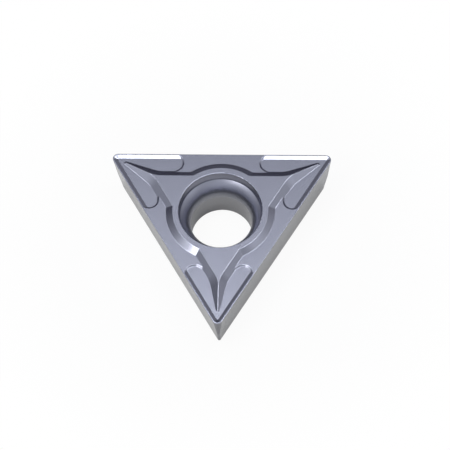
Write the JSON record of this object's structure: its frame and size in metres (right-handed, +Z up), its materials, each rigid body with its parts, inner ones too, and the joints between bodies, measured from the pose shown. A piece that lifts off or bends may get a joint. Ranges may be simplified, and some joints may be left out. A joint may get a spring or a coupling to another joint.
{
  "type": "indexable cutting insert",
  "caption": "Triangular cemented-carbide turning insert with clearance on its flanks, a moulded chip breaker round each nose and a rounded screw hole through its middle.",
  "frame": {"origin": "on the screw hole's axis, in the plane of the flat seat face that the insert rests on", "axes": "+Z up along the screw hole from the seat face to the chip-breaker side; one nose points along -Y and the flank opposite it faces +Y"},
  "size_m": [0.016, 0.0139, 0.0043],
  "materials": {
    "coated_carbide": "thin dark blue-grey nitride coating over fine-ground and moulded cemented carbide, satin metallic"
  },
  "bodies": {
    "root": {"insert": "coated_carbide"}
  },
  "joints": []
}
